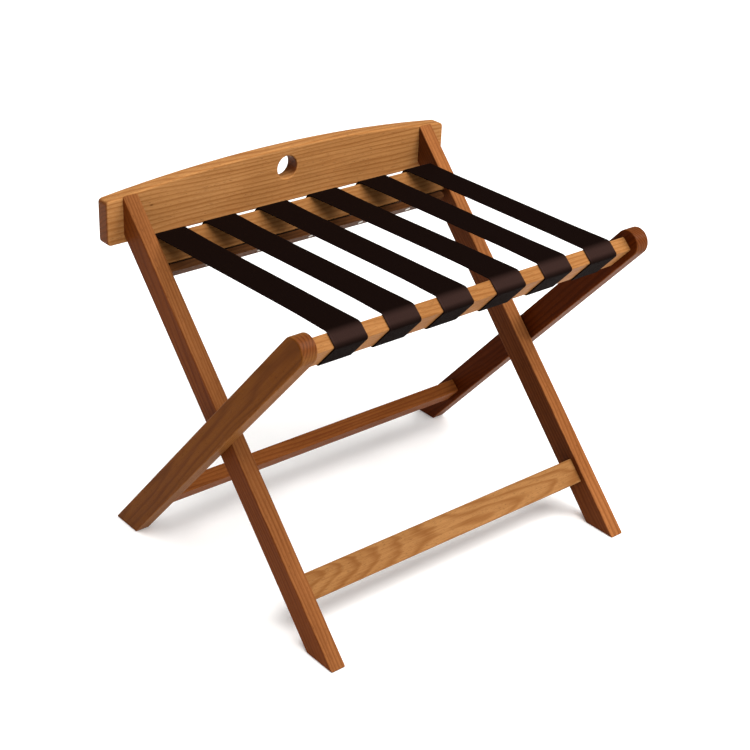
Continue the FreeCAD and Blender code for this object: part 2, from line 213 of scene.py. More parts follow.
# %% A material under construction
class Finish:
    """A new material, with a method that adds a node of any kind to it."""

    def __init__(self, name):
        self.material = bpy.data.materials.new(name)
        self.material.use_nodes = True
        self.tree = self.material.node_tree
        self.tree.nodes.clear()

    def node(self, kind, settings, sockets, output=0):
        made = self.tree.nodes.new("ShaderNode" + kind)
        for key, value in settings.items():
            if key == "stops":
                ramp = made.color_ramp
                while len(ramp.elements) < len(value):
                    ramp.elements.new(1.0)
                for element, (place, shade) in zip(ramp.elements, value):
                    element.position = place
                    element.color = (shade, shade, shade, 1) if isinstance(shade, (int, float)) else (*shade, 1)
            else:
                setattr(made, key, value)
        for key, value in sockets.items():
            connect(self.tree, made.inputs[key], value)
        return Signal(self.tree, made.outputs[output]) if made.outputs else None

    def ramp(self, signal, *stops):
        """A smooth curve through grey stops, given as (place, shade)."""
        return self.node("ValToRGB", {"stops": stops}, {"Fac": signal})

    def step(self, signal, low, high):
        """0 below low, 1 above high, and a smooth step between them."""
        settings = {"interpolation_type": "SMOOTHSTEP"}
        return self.node("MapRange", settings, {"Value": signal, "From Min": low, "From Max": high})

    def mix(self, share, first, second, way="MIX"):
        """Two colours mixed, or one laid over the other in another way."""
        settings = {"data_type": "RGBA", "blend_type": way, "clamp_factor": True}
        return self.node("Mix", settings, {0: share, 6: first, 7: second}, output=2)

    def noise(self, place, scale, detail=2.0, roughness=0.5, stretch=None):
        """Soft noise. Stretch squeezes or pulls the pattern along each axis first."""
        if stretch is not None:
            place = self.node("VectorMath", {"operation": "MULTIPLY"}, {0: place, 1: stretch})
        return self.node("TexNoise", {"noise_dimensions": "3D"},
                         {"Vector": place, "Scale": scale, "Detail": detail, "Roughness": roughness})

    def surface(self, sockets, height=None, depth=0.0, strength=1.0):
        """The last node: a Principled surface, with a bump from a height between 0 and 1."""
        if height is not None:
            bump = self.node("Bump", {}, {"Strength": strength, "Distance": depth, "Height": height})
            sockets = dict(sockets, Normal=bump)
        shaded = self.node("BsdfPrincipled", {}, sockets)
        self.node("OutputMaterial", {}, {"Surface": shaded})
        return self.material


# %% [markdown]
# ## Oak, one stick at a time
# Wood isn't a picture wrapped round a bar. It is a solid with a direction, and each face cuts through it.
# So the grain is worked out in the stick's own axes: along the grain, across the face, and through the thickness.
# Growth rings are circles round a pith that lies somewhere outside the stick. Where they meet a face nearly
# flat they draw arches, and where they meet it on edge they draw straight lines. Each stick has its own pith.
# Finer still are the fibres, long and thin, and the open pores of oak, which hold the stain and look like
# short dark dashes. End grain drinks stain and goes darker, and the long edges are paler: partly handling wear,
# partly a painted highlight where the eased edges catch the light.

# %% Sizes of the sticks, for the paler edges
LEG_HALF_WIDTH = 18.5 * MM
BATTEN_HALF = (5.1 * MM, 10 * MM)
LEGS = ("inner_leg_left", "inner_leg_right", "outer_leg_left", "outer_leg_right")
HALF = {name: (LEG_HALF_WIDTH, size_of(name).x / 2) for name in LEGS}
for node, lean in (("front_seat_rail", outer), ("rear_seat_rail", inner), ("front_stretcher", inner),
                   ("rear_stretcher", outer)):
    rail = Rail(node, lean)
    HALF[node] = (rail.wide / 2, rail.thick / 2)
HALF["strap_batten"] = BATTEN_HALF
HALF["headboard"] = (size_of("headboard").z / 2, size_of("headboard").y / 2)
COATED = {"outer_leg_left": 0.06, "outer_leg_right": 0.06}      # the round noses are lacquered thickest
print({name: tuple(round(v / MM, 1) for v in half) for name, half in HALF.items()})

# %% The middle line of a stick
def heart(node):
    """A point on the stick's middle line. A leg's box is lopsided, but its middle line goes through the pivot."""
    middle = middle_of(node)
    return Vector((middle.x, PIVOT.y, PIVOT.z)) if "_leg_" in node else middle


print("left inner leg's middle line goes through", tuple(round(v, 4) for v in heart("inner_leg_left")))


# %% The oak finish
def oak(name, node, grain, face, pith, ring, tones, seed, knot, side_shade, gloss=0.40):
    """A finish for one stick. Grain and face are directions; pith is (across, through) from the middle.

    The last argument is the colour that the stick's flat sides are multiplied by: a painted shade, for the sides
    that the light reaches less."""
    centre = heart(node)
    through = grain.cross(face)
    pale, deep, end, pore = tones

    f = Finish(name)
    where = f.node("TexCoord", {}, {}, output=3)
    local = f.node("VectorMath", {"operation": "SUBTRACT"}, {0: where, 1: centre})

    def along_axis(axis):
        return f.node("VectorMath", {"operation": "DOT_PRODUCT"}, {0: local, 1: axis}, output=1)

    run, side, depth = along_axis(grain), along_axis(face), along_axis(through)
    shift = Vector((seed * 0.731, seed * 0.377, seed * 0.553))
    stick = f.node("CombineXYZ", {}, {0: run + shift.x, 1: side + shift.y, 2: depth + shift.z})

    # Growth rings: the distance from the pith, bent a little by slow noise along the stick.
    drift = f.noise(stick, 1.0, detail=2.0, stretch=(2.6, 14.0, 14.0)) - 0.5
    wobble = f.noise(stick, 1.0, detail=2.0, stretch=(9.0, 60.0, 60.0)) - 0.5
    from_pith_side = side - pith[0]
    from_pith_depth = depth - pith[1]
    radius = (from_pith_side * from_pith_side + from_pith_depth * from_pith_depth) ** 0.5
    radius = radius + drift * 0.026 + wobble * 0.0035 + run * pith[2]
    count = radius / ring
    phase = f.node("Math", {"operation": "FRACT"}, {0: count})
    late = f.ramp(phase, (0.0, 0.60), (0.10, 0.06), (0.50, 0.18), (0.86, 1.0), (1.0, 0.60))
    year = f.noise(f.node("CombineXYZ", {}, {0: count * 0.45 + seed, 1: run * 0.8, 2: 0.0}), 1.0, detail=1.0)

    # Fibres and pores, both stretched along the grain.
    fibre = f.noise(stick, 1.0, detail=3.0, roughness=0.6, stretch=(16.0, 900.0, 900.0))
    streak = f.noise(stick, 1.0, detail=2.0, stretch=(4.0, 260.0, 260.0))
    spot = f.noise(stick, 1.0, detail=1.0, stretch=(150.0, 2100.0, 2100.0))
    pores = f.step(spot, 0.60, 0.72) * (0.35 + 0.65 * f.step(late, 0.55, 0.1))
    cloud = f.noise(stick, 1.0, detail=3.0, stretch=(4.0, 11.0, 11.0))

    share = late * 0.40 + year * 0.30 + streak * 0.50 + fibre * 0.56 - 0.36
    colour = f.mix(f.step(share, 0.14, 0.86), pale, deep)
    warmth = f.mix(f.step(cloud, 0.34, 0.68), (0.90, 0.86, 0.80), (1.10, 1.12, 1.16))
    colour = f.mix(0.75, colour, warmth, "MULTIPLY")
    colour = f.mix(pores * 0.62, colour, pore)

    if knot is not None:
        knot_run, knot_side, knot_size = knot
        off_run = (run - knot_run) * 0.45
        off_side = side - knot_side
        ring_off = f.noise(stick, 90.0, detail=2.0) * knot_size * 0.7
        away = (off_run * off_run + off_side * off_side) ** 0.5 + ring_off
        colour = f.mix(f.step(away, knot_size * 1.7, knot_size * 0.7) * 0.65, colour, pore)

    # The flat sides that face across the stick's thickness are darkened by a painted shade, since less light falls
    # on them. End grain drinks the most stain.
    def facing(axis):
        normal = f.node("TexCoord", {}, {}, output=1)
        return abs(f.node("VectorMath", {"operation": "DOT_PRODUCT"}, {0: normal, 1: axis}, output=1))

    flat = f.step(facing(through), 0.5, 0.9)
    colour = f.mix(flat, colour, side_shade, "MULTIPLY")
    cut = f.step(facing(grain), 0.45, 0.95)
    colour = f.mix(cut * 0.85, colour, f.mix(late * 0.5 + fibre * 0.4, end, pore))

    # Long edges are lightened: partly wear from handling, partly a painted highlight where the eased edge catches
    # the light. The band is broken up by noise.
    half_side, half_depth = HALF[node]
    to_edge = f.node("Math", {"operation": "MAXIMUM"}, {0: half_side - abs(side), 1: half_depth - abs(depth)})
    rub = f.noise(stick, 1.0, detail=3.0, stretch=(60.0, 200.0, 200.0))
    wear_and_edge_highlight = f.step(to_edge, 0.0022, 0.0004) * f.step(rub, 0.38, 0.66) * (1 - cut)
    colour = f.mix(wear_and_edge_highlight * 0.30, colour, tuple(min(1.0, c * 1.4) for c in pale))

    rough = gloss + fibre * 0.12 + pores * 0.18 + wear_and_edge_highlight * 0.12 + cut * -0.08
    height = 0.62 + fibre * 0.10 - late * 0.06 - pores * 0.5
    return f.surface({"Base Color": colour, "Roughness": rough, "IOR": 1.45, "Specular IOR Level": 0.025,
                      "Specular Tint": (1.0, 0.78, 0.58, 1.0), "Coat Weight": cut * COATED.get(node, 0.05),
                      "Coat Roughness": 0.22, "Coat IOR": 1.4},
                     height, depth=0.0005, strength=0.45)


# %% [markdown]
# ## Staining the sticks
# Each stick came from a different plank, so the same stain gives each its own tone. The batten's much darker tone
# is painted shade.
# A tone is four colours: the pale early wood, the deep late wood, the end grain, and the stain in the pores.

# %% Stain each stick
GOLD = ((0.385, 0.182, 0.062), (0.240, 0.092, 0.025), (0.112, 0.018, 0.002), (0.060, 0.019, 0.005))
TAN = ((0.400, 0.180, 0.058), (0.280, 0.108, 0.029), (0.150, 0.050, 0.014), (0.080, 0.026, 0.008))
ROSE = ((0.275, 0.100, 0.030), (0.170, 0.055, 0.015), (0.080, 0.024, 0.007), (0.050, 0.015, 0.005))
UMBER = ((0.235, 0.090, 0.022), (0.150, 0.052, 0.012), (0.170, 0.045, 0.012), (0.045, 0.014, 0.004))
RUST = ((0.215, 0.066, 0.015), (0.130, 0.036, 0.008), (0.180, 0.046, 0.012), (0.040, 0.012, 0.003))

UP = Vector((0, 0, 1))
EVEN = (1, 1, 1)        # no painted shade on the sides
def stained(tones, depth):
    """The same four colours scaled darker or lighter: a deeper or a lighter coat of stain, and for the batten a
    painted shade.
    """
    return tuple(tuple(channel * depth for channel in tone) for tone in tones)


# node: grain, face, pith (across, through, taper), ring width, tones, seed, knot, side shade (a painted shade on
# the flat sides)
STICKS = {
    "headboard": (SIDEWAYS, UP, (-0.16, 0.10, 0.012), 0.0052,
                  GOLD, 1.0, (-0.217, 0.004, 0.0013), EVEN),
    "front_seat_rail": (SIDEWAYS, outer.along, (0.08, 0.06, 0.010), 0.0040,
                        stained(TAN, 0.74), 2.0, None, EVEN),
    "rear_seat_rail": (SIDEWAYS, inner.along, (-0.07, 0.09, 0.014), 0.0044,
                       stained(TAN, 0.60), 3.0, None, EVEN),
    "front_stretcher": (SIDEWAYS, inner.along, (0.004, 0.055, 0.045), 0.0026,
                        stained(GOLD, 0.70), 4.0, None, EVEN),
    "rear_stretcher": (SIDEWAYS, outer.along, (0.06, 0.05, 0.012), 0.0040,
                       RUST, 5.0, None, EVEN),
    # The batten's tone is scaled down to 0.32 as a painted shade: it sits in shadow below the rear rail.
    "strap_batten": (SIDEWAYS, inner.along, (0.05, 0.05, 0.012), 0.0036,
                     stained(ROSE, 0.32), 6.0, None, EVEN),
    "inner_leg_left": (inner.along, inner.across, (0.05, 0.07, 0.010), 0.0040,
                       stained(ROSE, 0.80), 7.0, None, (0.64, 0.44, 0.26)),
    "inner_leg_right": (inner.along, inner.across, (-0.06, 0.06, 0.012), 0.0042,
                        stained(ROSE, 0.94), 8.0, None, (0.40, 0.29, 0.24)),
    "outer_leg_left": (outer.along, outer.across, (0.02, 0.08, 0.020), 0.0046,
                       stained(UMBER, 0.86), 9.0, None, (0.70, 0.54, 0.24)),
    "outer_leg_right": (outer.along, outer.across, (-0.05, 0.07, 0.012), 0.0042,
                        stained(RUST, 0.70), 10.0, None, (0.52, 0.30, 0.14)),
}


def dress(node, material):
    """Gives a solid node a finish, and leaves its shape alone."""
    for place in frame["nodes"][node].material_slots:
        place.material = material


for node, settings in STICKS.items():
    dress(node, oak("oak_" + node, node, *settings))
print("stained", len(STICKS), "sticks")

# %% [markdown]
# ## Metal, nylon and bare dowels
# These are small and mostly hidden, but a low view or a folded pose shows them.
# Drawn steel carries fine lines, and nylon is milky with a soft shine.

# %% Small finishes
def steel(name, colour, rough):
    """Plated steel: fine scratches, and a slight bloom in the plating."""
    f = Finish(name)
    where = f.node("TexCoord", {}, {}, output=3)
    bloom = f.noise(where, 260.0, detail=3.0)
    scratch = f.noise(where, 1.0, detail=2.0, stretch=(300.0, 4200.0, 4200.0))
    shade = f.mix(bloom * 0.6, colour, tuple(c * 0.72 for c in colour))
    return f.surface({"Base Color": shade, "Metallic": 1.0, "Roughness": rough + scratch * 0.2 + bloom * 0.1},
                     scratch, depth=0.00005, strength=0.4)


def nylon(name, colour):
    f = Finish(name)
    where = f.node("TexCoord", {}, {}, output=3)
    milk = f.noise(where, 180.0, detail=2.0)
    shade = f.mix(milk * 0.5, colour, tuple(c * 0.86 for c in colour))
    return f.surface({"Base Color": shade, "Roughness": 0.36 + milk * 0.12, "IOR": 1.5}, milk,
                     depth=0.0001, strength=0.3)


def beech(name):
    """Bare dowels: tight fibres along X, with the short flecks that beech has."""
    f = Finish(name)
    where = f.node("TexCoord", {}, {}, output=3)
    fibre = f.noise(where, 1.0, detail=3.0, stretch=(30.0, 900.0, 900.0))
    fleck = f.step(f.noise(where, 1.0, detail=1.0, stretch=(240.0, 1500.0, 1500.0)), 0.60, 0.70)
    shade = f.mix(fibre, (0.72, 0.56, 0.38), (0.55, 0.39, 0.24))
    shade = f.mix(fleck * 0.5, shade, (0.42, 0.26, 0.14))
    return f.surface({"Base Color": shade, "Roughness": 0.62 + fibre * 0.1}, fibre, depth=0.0002, strength=0.4)


pin_steel = steel("pin_steel", (0.55, 0.55, 0.56), 0.24)
zinc = steel("screw_zinc", (0.62, 0.60, 0.56), 0.34)
wire_steel = steel("staple_wire", (0.66, 0.66, 0.66), 0.30)
for side in ("left", "right"):
    dress("pivot_pin_" + side, pin_steel)
    dress("pivot_bush_" + side, nylon("nylon_bush_" + side, (0.85, 0.83, 0.78)))
    dress("pivot_washer_" + side, nylon("nylon_washer_" + side, (0.85, 0.83, 0.78)))
dress("inner_frame_dowels", beech("beech_inner"))
dress("outer_frame_dowels", beech("beech_outer"))
print("small finishes made")

# %% [markdown]
# ## The webbing
# Each strap is one flat band of woven webbing, 50 mm wide, wrapped round both top rails.
# When the rack folds, the strap goes slack and hangs down in a loop. It is made in two halves that meet
# in the middle of the seat.
# The path goes over the rail's edges with a small bend at each, as woven tape does when it is pulled tight.

# %% The path of a strap round a rail
BAND = 50 * MM          # width of the webbing
THICK = 1.8 * MM
OFF = 0.2 * MM          # webbing to wood
FRONT_BEND = 8 * MM     # radius inside the first bend, where the strap only leans on the rail
REAR_BEND = 5 * MM
BEND = 2.6 * MM         # radius inside the square bends
LOFT = 4 * MM           # the stiff webbing runs on this far past the rear rail before it bends
TAIL = 24 * MM          # stapled end, up the back of the front rail
CLAMP_SHORT = 3 * MM    # clamped end, short of the rear rail's face


def seat_middle():
    """The middle of the straps' underside: in line with the pivot and half-way between the frames."""
    front = outer.place(0, *front_rail.corner(True, True, OFF))
    rear = inner.place(0, *rear_rail.corner(True, True, OFF))
    to_front = (front - PIVOT).length
    share = to_front / (to_front + (rear - PIVOT).length)
    return front.lerp(rear, share)


def strap_corners(rail):
    lean = rail.lean
    corners = [lean.place(0, *rail.corner(high, upper, OFF))
               for high, upper in ((True, True), (True, False), (False, False))]
    if rail is front_rail:
        along, across = rail.corner(False, True, OFF)
        corners += [lean.place(0, along, across), lean.place(0, along + TAIL, across)]
    else:
        along, across = rail.corner(False, True, OFF)
        corners.append(lean.place(0, along, rail.thick / 2 - CLAMP_SHORT))
        corners[0] += (corners[0] - seat_middle()).normalized() * LOFT
    return [seat_middle()] + corners


print("seat middle", tuple(round(v, 4) for v in seat_middle()))


# %% Walk along the path
def walk(corners, first_bend, step=5 * MM, turns=8):
    """Stations along a path with rounded corners: (point on the wood side, direction, outward direction).

    Also gives the two distances along the band between which its first bend lies."""
    first = (corners[1] - corners[0]).normalized()
    second = (corners[2] - corners[1]).normalized()
    side = 1 if first.cross(second).x > 0 else -1
    stations = []

    def outward(run):
        return Vector((0, run.z, -run.y)) * side

    def straight(start, end):
        run = (end - start).normalized()
        pieces = max(1, round((end - start).length / step))
        for k in range(pieces + 1):
            stations.append((start.lerp(end, k / pieces), run, outward(run)))

    here = corners[0]
    bent = None
    bends = [first_bend] + [BEND] * (len(corners) - 3)
    for bend, before, corner, after in zip(bends, corners, corners[1:], corners[2:]):
        run_in = (corner - before).normalized()
        run_out = (after - corner).normalized()
        angle = run_in.angle(run_out)
        back = bend * math.tan(angle / 2)
        start, end = corner - run_in * back, corner + run_out * back
        straight(here, start)
        if bent is None:
            bent = (start - here).length, (start - here).length + (bend + THICK) * angle
        centre = start - outward(run_in) * bend
        for k in range(1, turns):
            turn = Matrix.Rotation(side * angle * k / turns, 3, "X")
            out = turn @ outward(run_in)
            stations.append((centre + out * bend, turn @ run_in, out))
        here = end
    straight(here, corners[-1])
    return stations, bent


front_path, front_bend_at = walk(strap_corners(front_rail), FRONT_BEND)
rear_path, rear_bend_at = walk(strap_corners(rear_rail), REAR_BEND)
print("stations", len(front_path), len(rear_path))

# %% [markdown]
# The cross-section of the band isn't a plain rectangle. Its edges are woven tighter, into a narrow selvedge,
# with a shallow groove beside it, and they close in a round. Every station of the path gets that outline,
# and the outlines are joined into a closed skin. Two extra numbers are kept at every corner of the skin,
# the distance along the band and across it, so that the weave follows the band round its bends.

# %% The band's cross-section
def half_thickness(x):
    """Half the band's thickness at a distance x from its middle line."""
    edge = BAND / 2
    round_from = edge - THICK * 0.55
    groove = 0.11 * MM * math.exp(-((abs(x) - (edge - 3.1 * MM)) / (0.55 * MM)) ** 2)
    swell = THICK / 2 - groove
    if abs(x) <= round_from:
        return swell
    return swell * math.sqrt(max(0.0, 1 - ((abs(x) - round_from) / (edge - round_from)) ** 2))


def across_places():
    """Places across the band: close together at the selvedges, wide apart between them."""
    edge = BAND / 2 / MM
    insets = (0.0, 0.06, 0.25, 0.55, 0.99, 1.8, 2.5, 3.1, 3.7, 4.6)
    near = [edge - inset for inset in insets]
    half = near + [16.0, 11.0, 5.5]
    return [-x * MM for x in half] + [0.0] + [x * MM for x in reversed(half)]


def band_outline():
    """(x, height over the wood side) round the section."""
    places = across_places()
    upper = [(x, THICK / 2 + half_thickness(x)) for x in places]
    lower = [(x, THICK / 2 - half_thickness(x)) for x in reversed(places[1:-1])]
    return upper + lower


print("points round the band", len(band_outline()))


# %% [markdown]
# A strap is never pulled quite square. Its solid halves don't lie at quite the same place across the rails,
# so the webbing runs slightly askew from one to the other. Tension also draws it in a little along the span.

# %% How a strap lies
SEAT_FRONT = strap_corners(front_rail)[1].y
SEAT_REAR = strap_corners(rear_rail)[1].y
STRAIGHT_WIDTH, DRAWN_WIDTH = 0.975, 0.925      # parts of the full width, at the rails and along the span


def smooth(share):
    share = min(1.0, max(0.0, share))
    return share * share * (3 - 2 * share)


def lie(point, number):
    """(X of the middle line, part of the full width) of a strap at a point on its path."""
    share = (point.y - SEAT_FRONT) / (SEAT_REAR - SEAT_FRONT)
    at_front, at_rear = (middle_of(f"strap_{number}_{half}").x for half in ("front", "rear"))
    drawn = smooth(share * 5) * smooth((1 - share) * 5)
    return at_front + (at_rear - at_front) * smooth(share), STRAIGHT_WIDTH + (DRAWN_WIDTH - STRAIGHT_WIDTH) * drawn


# %% Skin a band
def band(name, path, number, dimples=()):
    """A closed skin along the path, with the woven band's own coordinates in a UV map."""
    outline = band_outline()
    mesh = bpy.data.meshes.new(name)
    skin = bmesh.new()
    uv = skin.loops.layers.uv.new("weave")
    rings, lengths = [], []
    length = 0.0
    for k, (point, run, out) in enumerate(path):
        if k:
            length += (point - path[k - 1][0]).length
        lengths.append(length)
        ring = []
        x_middle, narrow = lie(point, number)
        for x, height in outline:
            place = x_middle + x * narrow
            press = sum(depth * math.exp(-(((place - at.x) / wide) ** 2
                                           + ((point + out * THICK - at).length / deep) ** 4))
                        for at, wide, deep, depth in dimples) if height > THICK * 0.6 else 0.0
            ring.append(skin.verts.new(point + out * (height - press) + Vector((place, 0, 0))))
        rings.append(ring)
    count = len(outline)
    for k in range(len(rings) - 1):
        for j in range(count):
            after = (j + 1) % count
            face = skin.faces.new((rings[k][j], rings[k][after], rings[k + 1][after], rings[k + 1][j]))
            face.smooth = True
            for loop, (r, c) in zip(face.loops, ((k, j), (k, after), (k + 1, after), (k + 1, j))):
                loop[uv].uv = (lengths[r], outline[c][0])
    for ring in (rings[0], rings[-1]):
        cap = skin.faces.new(ring if ring is rings[-1] else list(reversed(ring)))
        for edge in cap.edges:
            edge.smooth = False
        for loop in cap.loops:
            loop[uv].uv = (lengths[0] if ring is rings[0] else lengths[-1], loop.vert.co.x - x_middle)
    bmesh.ops.recalc_face_normals(skin, faces=skin.faces)
    skin.to_mesh(mesh)
    skin.free()
    piece = bpy.data.objects.new(name, mesh)
    bpy.context.scene.collection.objects.link(piece)
    return piece, length


# %% [markdown]
# ## The weave
# Seen close, webbing is rows of fat yarns that run along the band, pulled down by a hidden cross thread
# every millimetre or so, and neighbouring rows are pulled down half a step apart.
# The colour is a very dark brown, worn a little greyer where the yarns stand up.

# %% The webbing finish
def webbing(name, tail_length, bend_from, bend_to):
    """The weave. It is painted paler where the band turns over the rail's upper side: a painted sheen, where the
    band faces the light.
    """
    f = Finish(name)
    place = f.node("UVMap", {"uv_map": "weave"}, {})
    run = f.node("SeparateXYZ", {}, {"Vector": place}, output=0)
    side = f.node("SeparateXYZ", {}, {"Vector": place}, output=1)
    row = side / (1.25 * MM)
    which = f.node("Math", {"operation": "FLOOR"}, {0: row})
    across = f.node("Math", {"operation": "SINE"}, {0: (row - which) * math.pi})
    pull = f.node("Math", {"operation": "SINE"}, {0: run * (2 * math.pi / (2.3 * MM)) + which * math.pi})
    yarn = abs(across) ** 0.6 * (0.68 + 0.32 * pull)
    selvedge = f.step(abs(side), BAND / 2 - 3.4 * MM, BAND / 2 - 2.8 * MM)
    cord = f.node("Math", {"operation": "SINE"}, {0: run * (2 * math.pi / (1.5 * MM))}) * 0.5 + 0.5
    height = yarn * (1 - selvedge) + (0.45 + cord * 0.4) * selvedge
    lint = f.noise(place, 1.0, detail=3.0, stretch=(60.0, 700.0, 1.0))
    fade = f.noise(place, 1.0, detail=2.0, stretch=(22.0, 60.0, 1.0))
    dark, high = (0.0024, 0.0010, 0.0007), (0.0066, 0.0030, 0.0023)
    colour = f.mix(height * 0.62 + lint * 0.3, dark, high)
    colour = f.mix(fade * 0.4, colour, (0.0050, 0.0024, 0.0020))
    # Painted sheen: a paler band where the webbing bends over the rail's upper side and faces the light.
    painted_bend_sheen = f.step(run, bend_from - 1 * MM, bend_to + 3 * MM) * f.step(run, bend_to + 17 * MM, bend_to + 9 * MM)
    colour = f.mix(painted_bend_sheen * (0.6 + 0.4 * height), colour, (0.028, 0.0145, 0.0120))
    sealed = f.step(run, tail_length - 3 * MM, tail_length - 1 * MM)
    colour = f.mix(sealed * 0.8, colour, (0.004, 0.0022, 0.0020))
    rough = 0.70 - height * 0.12 + lint * 0.1 - sealed * 0.25
    return f.surface({"Base Color": colour, "Roughness": rough, "IOR": 1.45, "Specular IOR Level": 0.008,
                      "Specular Tint": (1.0, 0.74, 0.62, 1.0)},
                     height * (1 - sealed * 0.7), depth=0.0004, strength=0.5)


# %% [markdown]
# ## The six straps
# Each half is skinned along its own rail's path and given its webbing finish, and the solid strap half is hidden.
# The two turn distances, one near the rail and one a little past the middle, are worked out but not used.

# %% The six straps
def strap_middles(half):
    """X of the middle of each strap at the front or the rear rail, from the boxes of the solid straps."""
    return [middle_of(f"strap_{k}_{half}").x for k in range(1, 7)]


middle = seat_middle()
bisector = (middle - PIVOT)
bisector = Vector((0, bisector.y, bisector.z)).normalized()
level = Vector((0, bisector.z, -bisector.y))        # square to the bisector, towards the back
TURN_FROM = 171.5 * MM
TURN_TO = -32.6 * MM

STAPLE_ROW = 7 * MM      # from the cut end
STAPLE_STEP = 15 * MM
STAPLE_PLACES = (-1, 0, 1)
staple_along = front_rail.corner(False, True, 0)[0] + TAIL - STAPLE_ROW
staple_across = front_rail.thick / 2 + OFF + THICK
dimple_size = (5.2 * MM, 2.4 * MM, 0.28 * MM)

half_lengths = {}
for number, x in enumerate(strap_middles("front"), start=1):
    dimples = [(outer.place(x + k * STAPLE_STEP, staple_along, staple_across), *dimple_size)
               for k in STAPLE_PLACES]
    piece, length = band(f"strap_{number}_front_band", front_path, number, dimples)
    piece.data.materials.append(webbing(f"webbing_{number}_front", length, *front_bend_at))
    middle - level * TURN_FROM
    middle - level * TURN_TO
    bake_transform(piece)
    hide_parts(f"strap_{number}_front")
    half_lengths["front"] = length
    piece, length = band(f"strap_{number}_rear_band", rear_path, number)
    piece.data.materials.append(webbing(f"webbing_{number}_rear", length, *rear_bend_at))
    middle + level * TURN_FROM
    middle + level * TURN_TO
    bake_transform(piece)
    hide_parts(f"strap_{number}_rear")
    half_lengths["rear"] = length
print("straps", number, "of", {half: round(length / MM, 1) for half, length in half_lengths.items()}, "mm")

# %% [markdown]
# ## Staples
# Three wire staples hold the end of each strap to the back of the front rail. A staple is one bent wire,
# so it is drawn as one: a flattened round wire swept along its line, with tight round corners.

# %% Bend and sweep a wire
def sweep(skin, line, wide, tall, sideways, sides=10):
    """Adds a wire along a line of points to a mesh being built."""
    rings = []
    for k, point in enumerate(line):
        before, after = line[max(k - 1, 0)], line[min(k + 1, len(line) - 1)]
        run = (after - before).normalized()
        up = run.cross(sideways).normalized()
        ring = [skin.verts.new(point + sideways * math.cos(t) * wide + up * math.sin(t) * tall)
                for t in (2 * math.pi * j / sides for j in range(sides))]
        rings.append(ring)
    for first, second in zip(rings, rings[1:]):
        for j in range(sides):
            skin.faces.new((first[j], first[(j + 1) % sides], second[(j + 1) % sides], second[j])).smooth = True
    skin.faces.new(rings[0])
    skin.faces.new(rings[-1])


WIRE_WIDE = 0.45 * MM        # half the wire's width
WIRE_TALL = 0.36 * MM
SUNK = 0.25 * MM             # how far the crown is pressed into the webbing


def staple_line(x, crown=10 * MM, leg=3 * MM, corner=0.7 * MM):
    """The wire's middle line: a leg, the crown, and the other leg."""
    flat = staple_across + WIRE_WIDE - SUNK
    half = crown / 2 - WIRE_WIDE
    places = [(-half, -leg)]
    places += [(-half + corner - corner * math.cos(a), -corner + corner * math.sin(a))
               for a in (math.pi / 2 * k / 5 for k in range(6))]
    places += [(half - corner + corner * math.sin(a), -corner + corner * math.cos(a))
               for a in (math.pi / 2 * k / 5 for k in range(6))]
    places.append((half, -leg))
    return [outer.place(x + sidewise, staple_along, flat + deep) for sidewise, deep in places]


def finished(name, skin, material, body, slot, *nodes):
    """Turns a built mesh into a piece that rides on a body and stands for solid nodes."""
    bmesh.ops.recalc_face_normals(skin, faces=skin.faces)
    mesh = bpy.data.meshes.new(name)
    skin.to_mesh(mesh)
    skin.free()
    mesh.materials.append(material)
    piece = bpy.data.objects.new(name, mesh)
    bpy.context.scene.collection.objects.link(piece)
    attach(piece, body)
    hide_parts(*nodes)
    return piece


# %% The staples
skin = bmesh.new()
for x in strap_middles("front"):
    for k in STAPLE_PLACES:
        sweep(skin, staple_line(x + k * STAPLE_STEP), WIRE_WIDE, WIRE_TALL, outer.along)
finished("staples", skin, wire_steel, "outer_frame", "staple_steel", "strap_staples")
print("staples", len(STAPLE_PLACES) * len(strap_middles("front")))

# %% [markdown]
# ## Screws
# The headboard is held by two countersunk screws into each leg, and the batten by five from below.
# A screw is turned on a lathe, so its shape is one outline spun round: a flat head with a fine rim,
# the cone under it, and the shank. The cross-shaped recess is then cut out of the head.

# %% Turn a screw
HEAD = 4 * MM
BATTEN_SCREW = 26 * MM


def screw(skin, head_at, inward, length):
    """Adds a countersunk screw with a cross recess, the middle of its head at head_at."""
    outline = [(HEAD - 0.25 * MM, -0.02 * MM), (HEAD - 0.05 * MM, 0.08 * MM), (HEAD - 0.08 * MM, 0.3 * MM),
               (2 * MM, 2.4 * MM), (2 * MM, length - 5 * MM), (0.3 * MM, length)]
    turns = 32
    side = inward.orthogonal().normalized()
    other = inward.cross(side)

    def at(radius, angle, depth):
        return head_at + inward * depth + (side * math.cos(angle) + other * math.sin(angle)) * radius

    rings = [[skin.verts.new(at(radius, 2 * math.pi * j / turns, depth)) for j in range(turns)]
             for radius, depth in outline]
    for first, second in zip(rings, rings[1:]):
        for j in range(turns):
            face = skin.faces.new((first[j], first[(j + 1) % turns], second[(j + 1) % turns], second[j]))
            face.smooth = True
    skin.faces.new(rings[-1])

    # The recess: a cross on the flat of the head, narrower at the bottom.
    arm, slot = 2.05 * MM, 0.48 * MM
    mouth = []
    for base in (math.pi / 2 * quarter for quarter in range(4)):
        ahead = side * math.cos(base) + other * math.sin(base)
        left = -side * math.sin(base) + other * math.cos(base)
        mouth.append([skin.verts.new(head_at + ahead * arm + left * -slot),
                      skin.verts.new(head_at + ahead * arm + left * slot),
                      skin.verts.new(head_at + ahead * slot + left * slot)])
    loop = [vert for group in mouth for vert in group]
    floor = [skin.verts.new(head_at + (vert.co - head_at) * 0.45 + inward * 1.7 * MM) for vert in loop]
    for j in range(len(loop)):
        after = (j + 1) % len(loop)
        skin.faces.new((loop[j], loop[after], floor[after], floor[j]))
    skin.faces.new(floor)

    # The flat of the head, between the rim and the recess.
    rims = [(ring[j], ring[(j + 1) % len(ring)]) for ring in (rings[0], loop) for j in range(len(ring))]
    bmesh.ops.triangle_fill(skin, edges=[skin.edges.get(pair) for pair in rims], normal=-inward)


